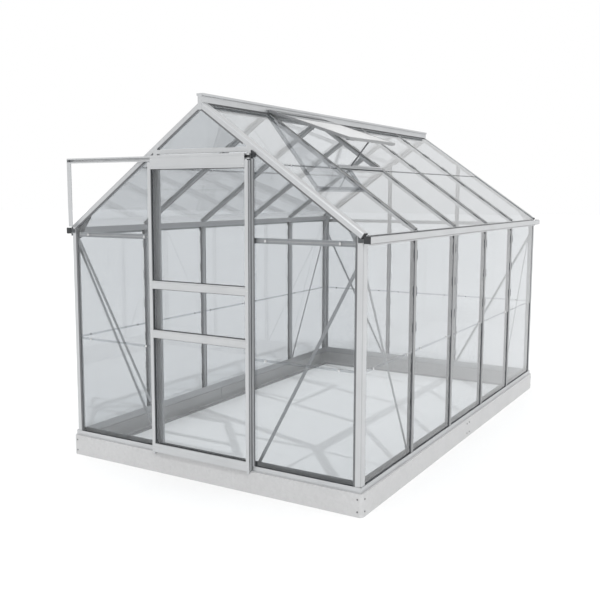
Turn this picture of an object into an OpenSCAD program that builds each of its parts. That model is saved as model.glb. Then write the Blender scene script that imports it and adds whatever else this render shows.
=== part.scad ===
// Aluminium glass greenhouse on a steel base, with a sliding door and a roof vent.
// Millimetres. +Z up, door gable towards -Y, origin on the ground under the middle.

/* [Overall] */
// Spacing of the glazing bars, one pane wide
bay = 620; // [540:1:760]
// Number of bays along each side wall
side_bays = 5; // [4:1:8]
// Free space between a corner tube and the edge of the pane beside it
corner_gap = 6.5; // [6:0.5:30]
// Height of the walls, from the top of the base to the underside of the gutter
wall_h = 1235; // [1000:1:1500]
// Slope of the roof in degrees
roof_a = 35; // [30:0.5:42]

/* [Base] */
// Height of the steel base
base_h = 120; // [80:1:200]
// How far the base stands out beyond the walls
base_out = 15; // [10:1:40]
// Thickness of the base sheet
base_t = 3; // [1.5:0.1:4]
// Width of the flanges of the base
base_flange = 57; // [55:1:100]
// Radius of the rounded corner of the base
base_r = 20; // [8:1:25]
// Length of each arm of the corner piece, round the outside
corner_arm = 34; // [28:1:60]
// Length of the tab behind the sheet at a corner
corner_tab = 40; // [20:1:80]
// Length of the splice plate behind the joint of the long sides
splice_l = 120; // [60:1:200]
// Gap between two lengths of base sheet
base_gap = 1; // [0.5:0.1:3]

/* [Glazing bars] */
// Wall thickness of the aluminium sections
bar_t = 2; // [1.5:0.1:3]
// Width of the outer face of a glazing bar
cap_w = 28; // [20:1:36]
// Depth of the posts from outer face to inner face
post_d = 33.5; // [30:0.5:45]
// Depth of the rafters
rafter_d = 31; // [26:0.5:45]
// Width of the stem of a glazing bar
stem_w = 14; // [12:1:20]
// Width of the slot for bolts along the inner face
slot_w = 6; // [4:0.5:8]
// Radius of the rounded outer corner of corner posts and gable rafters
corner_r = 14; // [6:1:20]
// Width of the inner shoulder that the glass lies on, each side of a stem
shoulder = 5; // [3:0.5:8]

/* [Sill] */
// Height of the outer lip of the sill
lip_h = 29; // [20:1:40]
// Height of the inner upstand of the sill
upstand_h = 45; // [20:1:60]
// Gap between the outer lip and the posts
lip_gap = 1; // [0.5:0.1:3]
// Free space between the posts and the inner upstand of the sill
sill_gap = 4.5; // [3:0.5:20]

/* [Gutter and ridge] */
// How far the gutter stands out beyond the posts
gutter_out = 37; // [25:1:60]
// Height of the gutter
gutter_h = 33; // [20:0.5:50]
// Height of the fin that covers the top edge of the wall glass
fin_h = 14; // [6:1:20]
// Thickness of the plastic end caps of the gutter
end_cap_t = 3; // [1:0.5:5]
// Width of the ridge body
ridge_w = 26; // [18:1:40]
// Width of the ridge capping
ridge_cap_w = 40; // [30:1:60]
// Height of the ridge capping
ridge_cap_h = 13; // [6:1:20]
// Height of the ridge above the roof planes
ridge_up = 36; // [24:1:60]

/* [Glass] */
// Thickness of the panes
pane_t = 3; // [2:0.5:4]
// Gap beside each pane to the middle of a bar
pane_side = 5; // [3:0.5:8]
// Height of a standard pane
pane_h = 610; // [450:1:760]
// Overlap of an upper pane over a lower one
lap = 12; // [6:1:30]
// Free space between a pane and the metal around it
pane_gap = 0.3; // [0.2:0.05:0.6]
// Gap between the top panes and the ridge
ridge_gap = 22; // [10:1:40]
// How far the roof panes reach over the gutter
drip = 14; // [5:1:25]

/* [Gables] */
// Height of the crossbars in the gables
cross_h = 28; // [16:1:50]
// Height of the head bar above the door
head_h = 22; // [16:1:40]
// Free space between the head bar and the rafters
head_gap = 1.1; // [0.5:0.1:10]
// Width of the flat diagonal braces
brace_w = 18; // [12:1:30]
// Free space between the two braces that meet at a corner
brace_gap = 6.4; // [4:0.1:20]
// Thickness of braces and gusset plates
brace_t = 2; // [1.5:0.5:4]
// Length of a gusset plate along the rafter
gusset_l = 92; // [70:1:140]

/* [Door] */
// How far the door leaf laps over the bar line on each side of the doorway
door_lap = 22; // [10:1:35]
// How far the closed leaf stands to the left of the middle of the doorway
door_set = 6; // [0:1:10]
// Width of the upright members of the leaf
stile_w = 21; // [15:1:35]
// Thickness of the leaf
door_t = 24; // [16:1:35]
// Gap between the leaf and the outer face of the posts
door_gap = 12; // [9:0.5:20]
// Gap under the leaf
door_foot = 7; // [6:0.5:12]
// Height of the cover plate of the top rail
fascia_h = 74; // [60:1:100]
// Height of the middle rails
mid_rail_h = 45; // [25:1:70]
// Height of the bottom rail
bottom_rail_h = 50; // [30:1:90]
// Height of the upper middle rail above the bottom of the leaf
mid_rail_1 = 939; // [800:1:1050]
// Height of the lower middle rail above the bottom of the leaf
mid_rail_2 = 662; // [450:1:720]

/* [Door track] */
// Height of the track
track_h = 28; // [26:1:34]
// Depth of the track
track_d = 26; // [22:1:30]
// Gap between the track and the moving leaf
track_gap = 6; // [5.5:0.5:10]
// Radius of the rollers
roller_r = 9; // [6:0.5:9]
// Width of the stay at the end of the track
stay_w = 32; // [20:1:45]

/* [Roof vent] */
// Bay of the right roof slope that holds the vent, counted from the door gable
vent_bay = 2; // [1:1:4]
// Length of the vent sash down the slope
vent_l = 566; // [400:1:700]
// Opening angle of the vent
vent_open = 16.5; // [8:0.5:40]
// Width of the members of the vent sash
sash_w = 24; // [16:1:35]
// Depth of the members of the vent sash
sash_d = 16; // [10:1:24]
// Width of the stay of the vent
vent_stay_w = 18; // [12:1:25]

/* [Hidden] */

// colours
aluminium = [0.80, 0.81, 0.82];
steel = [0.76, 0.77, 0.78];
glass = [0.70, 0.78, 0.80, 0.35];
plastic = [0.15, 0.16, 0.18];

// overall derived sizes
gable_bays = 3;
edge = post_d + corner_gap - pane_side;  // last bar line to the outer face of the corner
sill_d = post_d + sill_gap + bar_t;    // depth of the sill behind the outer face of the posts
hw = gable_bays * bay / 2 + edge;      // half width of the frame
hl = side_bays * bay / 2 + edge;       // half length of the frame
door_w = bay + 2 * door_lap;           // width of the door leaf
door_out = door_gap + door_t + 2;      // reach of the leaf beyond the gable
y_mid = (max(door_out, base_out) - base_out) / 2;  // puts the origin under the middle
z_sill = base_h + bar_t;               // seat of the posts and panes
z_gut = base_h + wall_h;               // underside of the gutter
slot_d = bar_t + 2 * pane_t + 3 * pane_gap;  // outer face to shoulder, two panes deep
shoulder_w = stem_w + 2 * shoulder;
web_w = 3;
// roof plane: the rafters stand on the inner wall of the gutter
gut_in_x = hw - post_d + bar_t;
z_eave = z_gut + gutter_h + rafter_d / cos(roof_a) - (hw - gut_in_x) * tan(roof_a);
z_apex = z_eave + hw * tan(roof_a);
s_end = hw / cos(roof_a);
z_ridge = z_apex + ridge_up;
s_pane_top = ridge_w / 2 / cos(roof_a) + ridge_gap;
// layers of the glass, measured outwards from the outer face of the bars
v_out = -bar_t - pane_gap;             // outer face of the outer pane
v_in = v_out - pane_t - pane_gap;      // outer face of the inner pane
z_mid = z_sill + pane_h;               // top of the lower wall panes
big = 4000;

// ---- helpers ----
function pitch_y(i) = -hl + edge + i * bay;
function roof_z(x, d = 0) = z_apex - x * tan(roof_a) - d / cos(roof_a);
function arc(cx, cy, r, a0, a1, n = 6) =
    [for (i = [0:n]) let (a = a0 + (a1 - a0) * i / n) [cx + r * cos(a), cy + r * sin(a)]];

module place() translate([0, y_mid, 0]) children();
module place_door() translate([-door_set, y_mid, 0]) children();
module both_x() { children(); mirror([1, 0, 0]) children(); }
module both_y() { children(); mirror([0, 1, 0]) children(); }
module box(x0, x1, y0, y1, z0, z1) translate([x0, y0, z0]) cube([x1 - x0, y1 - y0, z1 - z0]);
// local x runs down the right-hand slope from the apex, local z is its outward normal
module slope() translate([0, 0, z_apex]) rotate([0, roof_a, 0]) children();
// turns a plan drawn with +y outwards to face each wall
module face_front(x) translate([x, -hl]) rotate(180) children();
module face_right(y) translate([hw, y]) rotate(-90) children();

// glazing bar: outer face on y = 0, body towards -y
module bar_section(depth) {
    translate([-cap_w / 2, -bar_t]) square([cap_w, bar_t]);
    translate([-web_w / 2, -slot_d - bar_t / 2]) square([web_w, slot_d]);
    translate([-shoulder_w / 2, -slot_d - bar_t]) square([shoulder_w, bar_t]);
    difference() {
        translate([-stem_w / 2, -depth]) square([stem_w, depth - slot_d - bar_t / 2]);
        translate([-stem_w / 2 + bar_t, -depth + bar_t])
            square([stem_w - 2 * bar_t, depth - slot_d - 2 * bar_t]);
        translate([-slot_w / 2, -depth - 1]) square([slot_w, bar_t + 2]);
    }
}

// rounded square tube with its outer corner at the origin, towards +x and +y
module corner_tube(w, d) difference() {
    polygon(concat([[w, 0], [w, d], [0, d]], arc(corner_r, corner_r, corner_r, 180, 270)));
    polygon(concat([[w - bar_t, bar_t], [w - bar_t, d - bar_t], [bar_t, d - bar_t]],
                   arc(corner_r, corner_r, corner_r - bar_t, 180, 270)));
}

// corner section: tube, cover strip and shoulder for the panes of the long side (+y),
// shoulder for the panes of the gable (+x)
module corner_section(w, d, gable = true) {
    corner_tube(w, d);
    reach = edge + pane_side;
    translate([0, d - 0.01]) square([bar_t, reach + 4 - d]);
    translate([slot_d, d - 0.01]) square([bar_t, reach + 9 - d]);
    if (gable) translate([w - 0.01, slot_d]) square([reach + 9 - w, bar_t]);
}

// ---- steel base ----
// one member along +x from -l/2 to l/2 with its outer face at y = 0 and mitred flanges
module base_member(l) {
    r = base_r - base_t;
    flange = concat(
        arc(-l / 2 + base_r, base_r, r, 225, 270, 3), arc(l / 2 - base_r, base_r, r, 270, 315, 3),
        [[l / 2 - base_flange, base_flange], [-l / 2 + base_flange, base_flange]]);
    for (z = [0, base_h - base_t]) translate([0, 0, z]) linear_extrude(base_t) polygon(flange);
    box(-l / 2 + corner_arm, l / 2 - corner_arm, 0, base_t, 0, base_h);
    // returned inner edge of the lower flange
    box(-l / 2 + base_flange, l / 2 - base_flange, base_flange - base_t, base_flange, base_t - 0.01, 15);
}
module base_gable() color(steel) place() translate([0, -hl - base_out, 0])
    base_member(2 * (hw + base_out));
module base_side() color(steel) place() difference() {
    translate([hw + base_out, 0, 0]) rotate(90) base_member(2 * (hl + base_out));
    box(0, big, -base_gap / 2, base_gap / 2, -1, base_h + 1);
}
module base_front() base_gable();
module base_back() color(steel) place() mirror([0, 1, 0]) translate([0, -hl - base_out, 0])
    base_member(2 * (hw + base_out));
module base_right() base_side();
module base_left() mirror([1, 0, 0]) base_side();
module base_corner() {
    skin = concat([[corner_arm, 0], [corner_arm, base_t]],
                  arc(base_r, base_r, base_r - base_t, 270, 180),
                  [[base_t, corner_arm], [0, corner_arm]],
                  arc(base_r, base_r, base_r, 180, 270));
    translate([-hw - base_out, -hl - base_out, 0]) {
        linear_extrude(base_h) polygon(skin);
        tab_h = base_h - 2 * base_t - 2;
        end = corner_arm + corner_tab;
        translate([0, 0, base_t + 1]) linear_extrude(tab_h) {
            translate([base_r, base_t]) square([end - base_r, base_t]);
            translate([base_t, base_r]) square([base_t, end - base_r]);
        }
    }
}
module base_corners() color(steel) place() both_x() both_y() base_corner();
module base_splices() color(steel) place() both_x()
    box(hw + base_out - 2 * base_t, hw + base_out - base_t, -splice_l / 2, splice_l / 2,
        base_t + 1, base_h - base_t - 1);

// ---- sills ----
// one sill along x with mitred ends: outer face of the posts at y = 0, inside towards +y
module sill(l) {
    module strip(d0, d1, h) linear_extrude(h)
        polygon([[-l / 2 + d0, d0], [l / 2 - d0, d0], [l / 2 - d1, d1], [-l / 2 + d1, d1]]);
    strip(-lip_gap - bar_t, sill_d, bar_t);
    strip(-lip_gap - bar_t, -lip_gap, lip_h);
    strip(sill_d - bar_t, sill_d, upstand_h);
}
module sill_front() color(aluminium) place() translate([0, -hl, base_h]) sill(2 * hw);
module sill_back() color(aluminium) place() mirror([0, 1, 0]) translate([0, -hl, base_h]) sill(2 * hw);
module sill_right() color(aluminium) place() translate([hw, 0, base_h]) rotate(90) sill(2 * hl);
module sill_left() mirror([1, 0, 0]) sill_right();

// ---- posts ----
module corner_posts() color(aluminium) place() both_x() both_y()
    translate([-hw, -hl, z_sill]) linear_extrude(z_gut - z_sill) corner_section(post_d, post_d);
module side_posts_right() color(aluminium) place()
    for (i = [1:side_bays - 1]) translate([0, 0, z_sill])
        linear_extrude(z_gut - z_sill) face_right(pitch_y(i)) bar_section(post_d);
module side_posts_left() mirror([1, 0, 0]) side_posts_right();
// the two inner posts of a gable, cut to the slope under the rafters
module gable_posts() difference() {
    for (x = [-bay / 2, bay / 2]) translate([0, 0, z_sill])
        linear_extrude(z_ridge - z_sill) face_front(x) bar_section(post_d);
    both_x() slope() box(-big, big, -big, big, -rafter_d, big);
}
module door_posts() color(aluminium) place() gable_posts();
module back_posts() color(aluminium) place() mirror([0, 1, 0]) gable_posts();

// ---- gutters and ridge ----
module gutter() rotate([90, 0, 0]) linear_extrude(2 * (hl + bar_t), center = true) {
    translate([hw - post_d, z_gut]) square([post_d + gutter_out, bar_t]);
    translate([hw + gutter_out - bar_t, z_gut]) square([bar_t, gutter_h]);
    translate([hw - post_d, z_gut]) square([bar_t, gutter_h]);
    translate([hw + lip_gap, z_gut - fin_h]) square([bar_t, fin_h + 1]);
}
module gutter_right() color(aluminium) place() gutter();
module gutter_left() mirror([1, 0, 0]) gutter_right();
module gutter_end_caps() color(plastic) place() both_x() both_y()
    box(hw + 1, hw + gutter_out, hl + bar_t, hl + bar_t + end_cap_t, z_gut - 1, z_gut + gutter_h + 1);

// seat under the top edges of the panes on one slope, notched round the bars
module ridge_seat() difference() {
    slope() {
        box(0, s_pane_top + 18, -hl + post_d + 0.5, hl - post_d - 0.5, -slot_d - bar_t, -slot_d);
        box(s_pane_top - bar_t - 3, s_pane_top - 3, -hl + edge + pane_side, hl - edge - pane_side,
            -slot_d - 1, v_in);
    }
    slope() for (i = [1:side_bays - 1])
        box(-1, s_pane_top + 40, pitch_y(i) - shoulder_w / 2 - 0.5, pitch_y(i) + shoulder_w / 2 + 0.5,
            -rafter_d - 1, 1);
    slope() both_y()
        box(-1, s_pane_top + 40, hl - edge - pane_side - 9.5, hl, -rafter_d - 1, 1);
}
module ridge_beam() color(aluminium) place() {
    z0 = roof_z(ridge_w / 2, rafter_d) - bar_t;
    rotate([90, 0, 0]) linear_extrude(2 * hl, center = true) {
        difference() {
            translate([-ridge_w / 2, z0]) square([ridge_w, z_ridge - ridge_cap_h - z0 + 1]);
            translate([-ridge_w / 2 + bar_t, z0 + bar_t])
                square([ridge_w - 2 * bar_t, z_ridge - ridge_cap_h - z0 - bar_t]);
        }
        translate([-ridge_cap_w / 2, z_ridge - ridge_cap_h]) difference() {
            square([ridge_cap_w, ridge_cap_h]);
            translate([bar_t, -1]) square([ridge_cap_w - 2 * bar_t, ridge_cap_h - bar_t + 1 - 4]);
        }
        translate([-ridge_w / 2, z_ridge - ridge_cap_h]) square([bar_t, ridge_cap_h - 3]);
        translate([ridge_w / 2 - bar_t, z_ridge - ridge_cap_h]) square([bar_t, ridge_cap_h - 3]);
    }
    both_x() ridge_seat();
}

// ---- rafters ----
// everything on one side of the ridge face, to cut the rafters to the ridge
module beyond_ridge() box(-big, ridge_w / 2, -big, big, 0, big);
module rafters_right() color(aluminium) place() difference() {
    slope() for (i = [1:side_bays - 1]) translate([0, pitch_y(i), 0])
        rotate([90, 0, 90]) linear_extrude(s_end) bar_section(rafter_d);
    beyond_ridge();
}
module rafters_left() mirror([1, 0, 0]) rafters_right();
module gable_rafters() both_x() difference() {
    slope() translate([0, -hl, 0]) rotate([0, 90, 0])
        linear_extrude(s_end) corner_section(rafter_d, post_d, false);
    beyond_ridge();
}
module gable_rafters_front() color(aluminium) place() gable_rafters();
module gable_rafters_back() color(aluminium) place() mirror([0, 1, 0]) gable_rafters();

// ---- crossbars, head bar, gussets and braces ----
z_cross = z_gut - 5;                   // joint of the panes at the crossbars
cross_in = slot_d + bar_t + 1;         // crossbars stand clear behind the shoulders
z_head = roof_z(bay / 2 - stem_w / 2, rafter_d) - head_gap;  // top of the head bar
module channel(l, h, d) difference() {
    box(0, l, 0, d, -h / 2, h / 2);
    box(-1, l + 1, bar_t, d + 1, -h / 2 + bar_t, h / 2 - bar_t);
}
module gable_crossbar(x0, x1) translate([x0, -hl + cross_in, z_cross])
    channel(x1 - x0, cross_h, post_d - cross_in);
module crossbars_outer() both_x()
    gable_crossbar(bay / 2 + stem_w / 2, hw - post_d - brace_t - 0.5);
module crossbars_front() color(aluminium) place() crossbars_outer();
module crossbars_back() color(aluminium) place() mirror([0, 1, 0]) {
    crossbars_outer();
    gable_crossbar(-bay / 2 + stem_w / 2, bay / 2 - stem_w / 2);
}
module door_head() color(aluminium) place() {
    inner = bay / 2 - cap_w / 2;
    box(-inner, inner, -hl, -hl + post_d, z_head - head_h, z_head);
    box(-bay / 2 + stem_w / 2, bay / 2 - stem_w / 2, -hl + cross_in, -hl + post_d,
        z_head - head_h, z_head);
}
// plate in the corner of a gable, against the inner faces of post and rafter
module gusset() {
    xg = hw - post_d - 0.3;
    b0 = slot_d + bar_t + 0.5;
    x1 = xg - gusset_l * cos(roof_a) - 20;
    x2 = xg - gusset_l * cos(roof_a);
    outline = [
        [xg, roof_z(xg, b0)], [x1, roof_z(x1, b0)], [x1, roof_z(x1, rafter_d + 8)],
        [x2, roof_z(x2, rafter_d + 14)], [xg - 50, roof_z(xg - 50, rafter_d + 30)],
        [xg - 35, z_gut + 6], [xg - 20, z_gut - 22],
        [xg + 2.5, z_gut - 30], [xg + 2.5, z_gut - 55], [hw - b0, z_gut - 55],
        [hw - b0, z_gut - 0.5], [xg, z_gut - 0.5]];
    translate([0, -hl + post_d + brace_t, 0]) rotate([90, 0, 0]) linear_extrude(brace_t) polygon(outline);
}
module gussets() color(aluminium) place() both_x() both_y() gusset();
// flat bar between two points of an upright plane
module flat_brace(p, q) {
    d = q - p;
    rotate([90, 0, 0]) translate([p[0], p[1]]) rotate(atan2(d[1], d[0]))
        translate([-12, -brace_w / 2]) linear_extrude(brace_t) square([norm(d) + 24, brace_w]);
}
// heights of the top ends of the braces, one below the other
brace_top = z_gut - 35;
brace_tilt = atan2(wall_h - 60, bay);
gable_brace_top = brace_top - brace_gap - brace_w / cos(brace_tilt);
module gable_braces() both_x() difference() {
    translate([0, -hl + post_d + brace_t, 0])
        flat_brace([bay / 2 + 20, z_sill + 10], [hw - 27, gable_brace_top]);
    box(-big, big, -big, big, 0, z_sill);  // stands on the sill
}
module braces_front() color(aluminium) place() gable_braces();
module braces_back() color(aluminium) place() mirror([0, 1, 0]) gable_braces();
module braces_right() color(aluminium) place() both_y()
    translate([hw - post_d, 0, 0]) rotate(90) translate([0, brace_t, 0])
        flat_brace([pitch_y(1), z_sill + 35], [-hl + 25.5, brace_top]);
module braces_left() mirror([1, 0, 0]) braces_right();

// ---- glass ----
module side_glass() for (i = [0:side_bays - 1]) {
    y0 = pitch_y(i) + pane_side;
    y1 = pitch_y(i + 1) - pane_side;
    box(hw + v_in - pane_t, hw + v_in, y0, y1, z_sill, z_mid);
    box(hw + v_out - pane_t, hw + v_out, y0, y1, z_mid - lap, z_gut - 2);
}
module glass_right() color(glass) place() side_glass();
module glass_left() mirror([1, 0, 0]) glass_right();
// a pane of the outer layer of a gable, drawn in x and z
module gable_pane(pts) translate([0, -hl - v_out + pane_t, 0]) rotate([90, 0, 0])
    linear_extrude(pane_t) polygon(pts);
module gable_lower_pane(x0, x1)
    box(x0, x1, -hl - v_in, -hl - v_in + pane_t, z_sill, z_mid);
module gable_outer_bay() {
    x0 = bay / 2 + pane_side;
    x1 = hw - edge - pane_side;
    top = rafter_d + 0.5;
    gable_lower_pane(x0, x1);
    gable_pane([[x0, z_mid - lap], [x1, z_mid - lap], [x1, z_cross - 2], [x0, z_cross - 2]]);
    gable_pane([[x0, z_cross + 2], [x1, z_cross + 2], [x1, roof_z(x1, top)], [x0, roof_z(x0, top)]]);
}
// pane between the middle posts, from z up to the ridge
module gable_peak_pane(z) {
    top = rafter_d + 0.5;
    x1 = min(bay / 2 - pane_side, (z_apex - top / cos(roof_a) - z) / tan(roof_a));
    xr = ridge_w / 2 + 0.5;
    zr = min(roof_z(xr, top), roof_z(ridge_w / 2, rafter_d) - bar_t - 0.5);
    gable_pane([[-x1, z], [x1, z], [x1, roof_z(x1, top)], [xr, zr], [-xr, zr], [-x1, roof_z(x1, top)]]);
}
module glass_front() color(glass) place() {
    both_x() gable_outer_bay();
    gable_peak_pane(z_head + 2);
}
module glass_back() color(glass) place() mirror([0, 1, 0]) {
    both_x() gable_outer_bay();
    x0 = bay / 2 - pane_side;
    gable_lower_pane(-x0, x0);
    gable_pane([[-x0, z_mid - lap], [x0, z_mid - lap], [x0, z_cross - 2], [-x0, z_cross - 2]]);
    gable_peak_pane(z_cross + 2);
}
s_low_top = s_end + drip - pane_h;     // top edge of the lower roof panes
module roof_glass(open_bay = 0) slope() for (i = [0:side_bays - 1]) {
    y0 = pitch_y(i) + pane_side;
    y1 = pitch_y(i + 1) - pane_side;
    box(s_low_top, s_end + drip, y0, y1, v_in - pane_t, v_in);
    if (i + 1 != open_bay)
        box(s_pane_top, s_low_top + lap, y0, y1, v_out - pane_t, v_out);
}
module glass_roof_right() color(glass) place() roof_glass(vent_bay);
module glass_roof_left() color(glass) place() mirror([1, 0, 0]) roof_glass();

// ---- roof vent, fixed open ----
vent_y0 = pitch_y(vent_bay - 1);
vent_y1 = pitch_y(vent_bay);
sill_top = 8;                          // height of the vent sill above the bars
hinge_x = ridge_w / 2 + 8;
hinge_z = z_apex + 8;
// local x runs down the sash from the hinge, local z is its outward normal
module sash_frame() translate([hinge_x, 0, hinge_z]) rotate([0, roof_a - vent_open, 0]) children();
module vent_sill() color(aluminium) place() slope() {
    s0 = s_low_top - 12;
    s1 = s_low_top - 0.7;
    m = stem_w / 2;
    box(s0, s1 + 12, vent_y0 + m, vent_y1 - m, -rafter_d + 3, -slot_d - bar_t - 0.5);
    m2 = shoulder_w / 2 + 0.5;
    box(s0, s1, vent_y0 + m2, vent_y1 - m2, -slot_d - bar_t - 1, -bar_t - 0.2);
    m3 = cap_w / 2 + 0.5;
    box(s0, s1, vent_y0 + m3, vent_y1 - m3, -bar_t - 1, sill_top);
    box(s0, s1 + 11, vent_y0 + m3, vent_y1 - m3, -bar_t - 0.2, 0.8);
}
module vent_sash() color(aluminium) place() {
    over = 5;
    y0 = vent_y0 - over;
    y1 = vent_y1 + over;
    sash_frame() difference() {
        box(0, vent_l, y0, y1, -sash_d, 0);
        box(sash_w, vent_l - sash_w, y0 + sash_w, y1 - sash_w, -sash_d - 1, 1);
        box(sash_w - 9, vent_l - sash_w + 9, y0 + sash_w - 9, y1 - sash_w + 9, -pane_t - 1, 1);
    }
    // hinge knuckles on the side of the ridge
    for (y = [y0 + 60, y1 - 60])
        box(ridge_w / 2, hinge_x - 2, y - 25, y + 25, hinge_z - sash_d + 1.5, hinge_z - 3);
}
module vent_pane() color(glass) place() sash_frame()
    box(sash_w - 8, vent_l - sash_w + 8, vent_y0 - 5 + sash_w - 8, vent_y1 + 5 - sash_w + 8,
        -pane_t - 0.7, -0.7);
module vent_stay() color(aluminium) place() difference() {
    a = roof_a - vent_open;
    y0 = vent_y0 + 0.28 * bay;
    y1 = vent_y0 + 0.46 * bay;
    p = [(s_low_top - 6) * cos(roof_a), y0, z_apex - (s_low_top - 6) * sin(roof_a)];
    u = vent_l - sash_w / 2;
    q = [hinge_x + u * cos(a), y1, hinge_z - u * sin(a)];
    d = q - p;
    translate(p) rotate([0, acos(d[2] / norm(d)), atan2(d[1], d[0])])
        box(-1.5, 1.5, -vent_stay_w / 2, vent_stay_w / 2, 0, norm(d));
    slope() box(0, big, -big, big, -200, sill_top);
    sash_frame() box(-big, big, -big, big, -sash_d, 300);
}

// ---- door track ----
track_z = z_head - head_h - 12 - track_h;
track_x0 = -(hw - 3);
track_x1 = door_w / 2 - door_set + 3;
module track_section() {
    square([bar_t, track_h]);
    square([track_d, bar_t]);
    translate([0, track_h - bar_t]) square([track_d, bar_t]);
    translate([track_d - bar_t, 0]) square([bar_t, 6]);
    translate([track_d - bar_t, track_h - 8]) square([bar_t, 8]);
}
module door_track() color(aluminium) place() {
    translate([track_x0, -hl, track_z]) rotate([90, 0, 90]) linear_extrude(track_x1 - track_x0)
        mirror([1, 0]) track_section();
    // closed outer end that stops the rollers
    box(track_x0, track_x0 + bar_t, -hl - track_d, -hl, track_z, track_z + track_h);
}
module track_stay() color(aluminium) place() {
    foot = roof_z(hw - 3, 8);
    box(track_x0, track_x0 + stay_w, -hl - track_d, -hl - track_d + 3, foot, track_z);
    box(track_x0, track_x0 + stay_w, -hl - track_d, -hl, foot, foot + 3);
}

// ---- sliding door ----
door_z = base_h + door_foot;
door_top = track_z - track_gap;        // top of the stiles, under the track
rail_x = door_w / 2 - stile_w;
door_y1 = -hl - door_gap;
door_y0 = door_y1 - door_t;
fascia_z1 = track_z + track_h + 3;
fascia_z0 = fascia_z1 - fascia_h;
groove = 6;
// spaces between the rails: [bottom, top] of the three panes
door_fields = [[door_z + bottom_rail_h, door_z + mid_rail_2],
               [door_z + mid_rail_2 + mid_rail_h, door_z + mid_rail_1],
               [door_z + mid_rail_1 + mid_rail_h, fascia_z0]];
module door_pane_boxes(grow) for (f = door_fields)
    box(-rail_x - groove + 1 - grow, rail_x + groove - 1 + grow,
        door_y1 - door_t / 2 - pane_t / 2 - grow, door_y1 - door_t / 2 + pane_t / 2 + grow,
        f[0] - groove + 1 - grow, f[1] + groove - 1 + grow);
module door_member(x0, x1, z0, z1) difference() {
    box(x0, x1, door_y0, door_y1, z0, z1);
    door_pane_boxes(pane_gap);
}
module door_stiles() color(aluminium) place_door() both_x()
    door_member(rail_x, door_w / 2, door_z, door_top);
module door_top_rail() color(aluminium) place_door() {
    door_member(-rail_x, rail_x, fascia_z0, door_top);
    box(-rail_x, rail_x, door_y0 - 2, door_y0 + 3, fascia_z0, fascia_z1);
}
module door_mid_rails() color(aluminium) place_door()
    for (z = [mid_rail_1, mid_rail_2])
        door_member(-rail_x, rail_x, door_z + z, door_z + z + mid_rail_h);
module door_bottom_rail() color(aluminium) place_door()
    door_member(-rail_x, rail_x, door_z, door_z + bottom_rail_h);
module door_panes() color(glass) place_door() door_pane_boxes(0);
roller_x = door_w / 2 - 80;
module door_rollers() color(plastic) place_door() both_x()
    translate([roller_x, -hl, track_z + bar_t + 0.4 + roller_r]) rotate([90, 0, 0]) {
        translate([0, 0, 8]) cylinder(r = roller_r, h = 8, $fn = 48);
        translate([0, 0, 8]) cylinder(r = 3, h = -door_y0 - hl - 11, $fn = 32);
    }

base_front();
base_back();
base_left();
base_right();
base_corners();
base_splices();
sill_front();
sill_back();
sill_left();
sill_right();
corner_posts();
side_posts_left();
side_posts_right();
door_posts();
back_posts();
gutter_left();
gutter_right();
gutter_end_caps();
ridge_beam();
gable_rafters_front();
gable_rafters_back();
rafters_left();
rafters_right();
crossbars_front();
crossbars_back();
door_head();
braces_front();
braces_back();
braces_left();
braces_right();
gussets();
glass_front();
glass_back();
glass_left();
glass_right();
glass_roof_left();
glass_roof_right();
vent_sill();
vent_sash();
vent_pane();
vent_stay();
door_track();
track_stay();
door_stiles();
door_top_rail();
door_mid_rails();
door_bottom_rail();
door_panes();
door_rollers();
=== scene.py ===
import math

import bpy
import numpy as np
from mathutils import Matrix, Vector


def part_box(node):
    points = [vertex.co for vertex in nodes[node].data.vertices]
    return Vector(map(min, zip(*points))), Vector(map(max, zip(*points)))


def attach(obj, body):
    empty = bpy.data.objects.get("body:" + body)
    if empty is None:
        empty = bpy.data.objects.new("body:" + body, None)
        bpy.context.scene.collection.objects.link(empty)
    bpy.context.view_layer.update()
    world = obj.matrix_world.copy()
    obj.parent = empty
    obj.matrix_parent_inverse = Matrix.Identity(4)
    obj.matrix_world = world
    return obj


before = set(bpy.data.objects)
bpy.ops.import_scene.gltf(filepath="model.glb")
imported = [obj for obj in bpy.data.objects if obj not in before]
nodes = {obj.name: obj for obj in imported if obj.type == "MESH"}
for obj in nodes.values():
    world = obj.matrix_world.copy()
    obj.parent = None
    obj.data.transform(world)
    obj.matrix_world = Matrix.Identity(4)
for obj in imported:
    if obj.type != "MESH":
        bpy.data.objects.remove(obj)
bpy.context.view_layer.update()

# ---------------------------------------------------------------- sizes of the house, in metres
BAY, SIDE_BAYS, EDGE = 0.620, 5, 0.035     # EDGE: from the end of the frame to the first bay
HW, HL = 0.965, 1.585            # half width and half length of the frame
Y_MID = 0.0115                   # middle of the frame along Y
BASE_H, BASE_OUT = 0.120, 0.015
Z_SILL, Z_GUT, GUTTER_H = 0.122, 1.355, 0.033
BAR_T, POST_D, RAFTER_D, CAP_HALF = 0.002, 0.0335, 0.031, 0.014
PANE_T, LAP, PANE_H = 0.003, 0.012, 0.610
V_OUT, V_IN = -0.0023, -0.0056   # outer faces of the outer and the inner panes
RIDGE_HALF, RIDGE_GAP = 0.013, 0.022       # half the ridge body, and its gap to the top panes
EAVE_DROP, CROSS_DROP = 0.014, 0.005       # panes past the wall, crossbars below the gutter
Z_MID = Z_SILL + PANE_H
SLOPE = math.radians(35)
Z_EAVE = Z_GUT + GUTTER_H + RAFTER_D / math.cos(SLOPE) - (POST_D - BAR_T) * math.tan(SLOPE)
Z_APEX = Z_EAVE + HW * math.tan(SLOPE)
S_END = HW / math.cos(SLOPE)     # down the slope from the apex line to the wall
S_LOW_TOP = S_END + EAVE_DROP - PANE_H
S_TOP = RIDGE_HALF / math.cos(SLOPE) + RIDGE_GAP
Z_CROSS = Z_GUT - CROSS_DROP
BAR_Y = [-HL + EDGE + i * BAY for i in range(SIDE_BAYS + 1)]
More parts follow.
